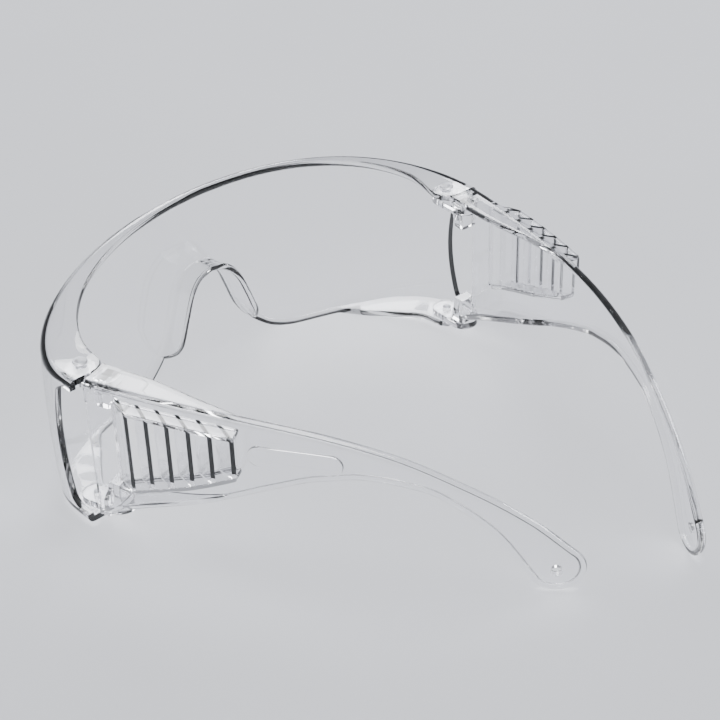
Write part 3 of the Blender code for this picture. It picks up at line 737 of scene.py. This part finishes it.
def side_opening():
    """Cutter that opens the lens side behind its scooped rear edge, between the two flanges."""
    low, high = LOWER_BOSS_BASE + WALL + 1.2, HINGE_HEIGHT - WALL - 1.2

    def place(u, v, w):
        front = SIDE_REAR - SCOOP * math.sin(math.pi * u) ** 0.8
        corner = 2.2 * max(0.0, 1 - min(u, 1 - u) * (high - low) / 3) ** 2
        y = (front + corner) * (1 - v) + (BOSS_RADIUS + 4) * v
        return HALF_WIDTH - OUTER_ROUND - 1.5 + w * (OUTER_ROUND + 4), y, low + u * (high - low)

    return mapped_box("side_opening", place, cuts=48)


def make_lens(look):
    cuts = []
    for side in (1, -1):
        opening = side_opening()
        hole = disc("hinge_hole", PIN_DIAMETER / 2 + GAP, -5, BROW_HEIGHT + 5, centre=(HINGE_X, 0),
                    sides=ROUND_SIDES)
        cuts += [opening, hole] if side > 0 else [mirrored(opening), mirrored(hole)]
    mesh = joined(loft("lens", lens_rings()), cuts, "DIFFERENCE")
    return piece("clear_lens_shield", mesh, "lens", look, ["lens_front"],
                 Matrix.Translation(MIDDLE))


def make_temple(look, side):
    word, yaw = ("left", LEFT_YAW) if side > 0 else ("right", -RIGHT_YAW)
    cuts, louvres = louvre_meshes("fine_")
    added = [softened(mesh) for mesh in louvres + knuckle_meshes("fine_")]
    if side > 0:
        added.append(softened(plate_mesh("fine_plate"), 0.3))
    mesh = joined(loft("temple", temple_rings()), cuts, "DIFFERENCE")
    mesh = joined(mesh, added, "UNION")
    pin_hole = disc("pin_hole", PIN_DIAMETER / 2 + GAP, -5, HINGE_HEIGHT + 5, sides=ROUND_SIDES)
    holes = [tip_hole("tip_hole"), pin_hole]
    mesh = joined(mesh, holes, "DIFFERENCE")
    if side < 0:
        mesh = mirrored(mesh)
    hinge = HINGES[f"{word}_hinge"]
    place = Matrix.Translation((hinge.x, hinge.y, 0)) @ Matrix.Rotation(math.radians(yaw), 4, "Z")
    return piece(f"clear_{word}_temple", mesh, f"{word}_arm", look, [f"{word}_temple"],
                 place)


def tip_hole(name):
    """Cutter for the cord hole in the temple tip, square to the face there."""
    mesh = bpy.data.meshes.new(name)
    bm = bmesh.new()
    radius = TIP_HOLE_DIAMETER / 2
    bmesh.ops.create_cone(bm, cap_ends=True, segments=ROUND_SIDES, radius1=radius, radius2=radius, depth=1.0)
    for v in bm.verts:
        depth = 6.0 if v.co.z > 0 else -3.0
        v.co = Vector(temple_surface(TEMPLE_LENGTH + v.co.x, TIP_RADIUS + v.co.y, depth)) * MM
    close_mesh(bm, mesh)
    return mesh


def make_pins(look):
    upper_low = HINGE_HEIGHT - WALL - GAP - TONGUE_THICKNESS - PIN_PAST_TONGUE
    lower_high = tongue_base() + TONGUE_THICKNESS + PIN_PAST_TONGUE
    for word in ("left", "right"):
        hinge = HINGES[f"{word}_hinge"]
        spots = ((f"{word}_upper_pin", upper_low, HINGE_HEIGHT + GAP, True),
                 (f"{word}_lower_pin", LOWER_BOSS_BASE - GAP, lower_high, False))
        for node, low, high, head_up in spots:
            profile = bpy.data.objects.new("profile", pin_mesh(node + "_profile", low, high, head_up))
            bpy.context.scene.collection.objects.link(profile)
            turn = profile.modifiers.new("turn", "SCREW")
            turn.steps = turn.render_steps = ROUND_SIDES
            turn.use_merge_vertices = True
            turn.merge_threshold = 0.00001
            bpy.context.view_layer.update()
            turned = profile.evaluated_get(bpy.context.evaluated_depsgraph_get())
            mesh = bpy.data.meshes.new_from_object(turned)
            bpy.data.objects.remove(profile, do_unlink=True)
            place = Matrix.Translation((hinge.x, hinge.y, 0))
            piece("clear_" + node, mesh, "lens", look, [node], place)


# ---- floor, light and camera -----------------------------------------------------------------

CAMERA_AZIMUTH = 138.85
CAMERA_HEIGHT_ANGLE = 34.02
CAMERA_ROLL = -2.01
CAMERA_DISTANCE = 504.9
CAMERA_LENS = 88.4
CAMERA_TARGET = (-1.0, 34.4, 34.0)


def make_floor():
    bpy.ops.mesh.primitive_plane_add(size=6.0, location=(0, 0, 0))
    floor = bpy.context.object
    floor.name = "floor"
    floor.data.materials.append(floor_material())


def soft_light(name, power, size, azimuth, height, distance, colour=(1.0, 1.0, 1.0)):
    """A square softbox that looks at the middle of the object."""
    lamp = bpy.data.lights.new(name, "AREA")
    lamp.energy = power
    lamp.size = size
    lamp.color = colour
    made = bpy.data.objects.new(name, lamp)
    bpy.context.scene.collection.objects.link(made)
    a, h = math.radians(azimuth), math.radians(height)
    away = Vector((math.sin(a) * math.cos(h), -math.cos(a) * math.cos(h), math.sin(h)))
    made.location = away * distance + Vector((0, 0, 0.03))
    made.rotation_euler = away.to_track_quat("Z", "Y").to_euler()
    return made


def make_lights():
    world = bpy.data.worlds.new("studio")
    world.use_nodes = True
    world.node_tree.nodes["Background"].inputs["Color"].default_value = (0.78, 0.80, 0.86, 1.0)
    world.node_tree.nodes["Background"].inputs["Strength"].default_value = 0.55
    bpy.context.scene.world = world
    soft_light("overhead_softbox", 16, 0.7, 0, 88, 1.1)
    soft_light("front_softbox", 9, 0.5, -35, 38, 1.3, (0.97, 0.98, 1.0))
    soft_light("rim_softbox", 7, 0.35, 250, 22, 1.2, (0.93, 0.94, 1.0))


def make_camera():
    data = bpy.data.cameras.new("camera")
    data.lens = CAMERA_LENS
    data.sensor_width = 36.0
    data.clip_start = 0.01
    camera = bpy.data.objects.new("camera", data)
    bpy.context.scene.collection.objects.link(camera)
    a, h = math.radians(CAMERA_AZIMUTH), math.radians(CAMERA_HEIGHT_ANGLE)
    away = Vector((math.sin(a) * math.cos(h), -math.cos(a) * math.cos(h), math.sin(h)))
    target = Vector(CAMERA_TARGET) * MM + MIDDLE
    camera.location = target + away * CAMERA_DISTANCE * MM
    look = away.to_track_quat("Z", "Y").to_matrix().to_4x4()
    roll = Matrix.Rotation(math.radians(CAMERA_ROLL), 4, "Z")
    camera.rotation_euler = (look @ roll).to_euler()
    bpy.context.scene.camera = camera


def main():
    finish = handling_group()
    lens_look = clear_plastic("clear_lens_plastic", finish, *LENS_FINISH)
    temple_look = clear_plastic("clear_temple_plastic", finish, *TEMPLE_FINISH)
    pin_look = clear_plastic("milky_pin_plastic", finish, *PIN_FINISH)
    make_lens(lens_look)
    for side in (1, -1):
        make_temple(temple_look, side)
    make_pins(pin_look)
    make_floor()
    make_lights()
    make_camera()


main()
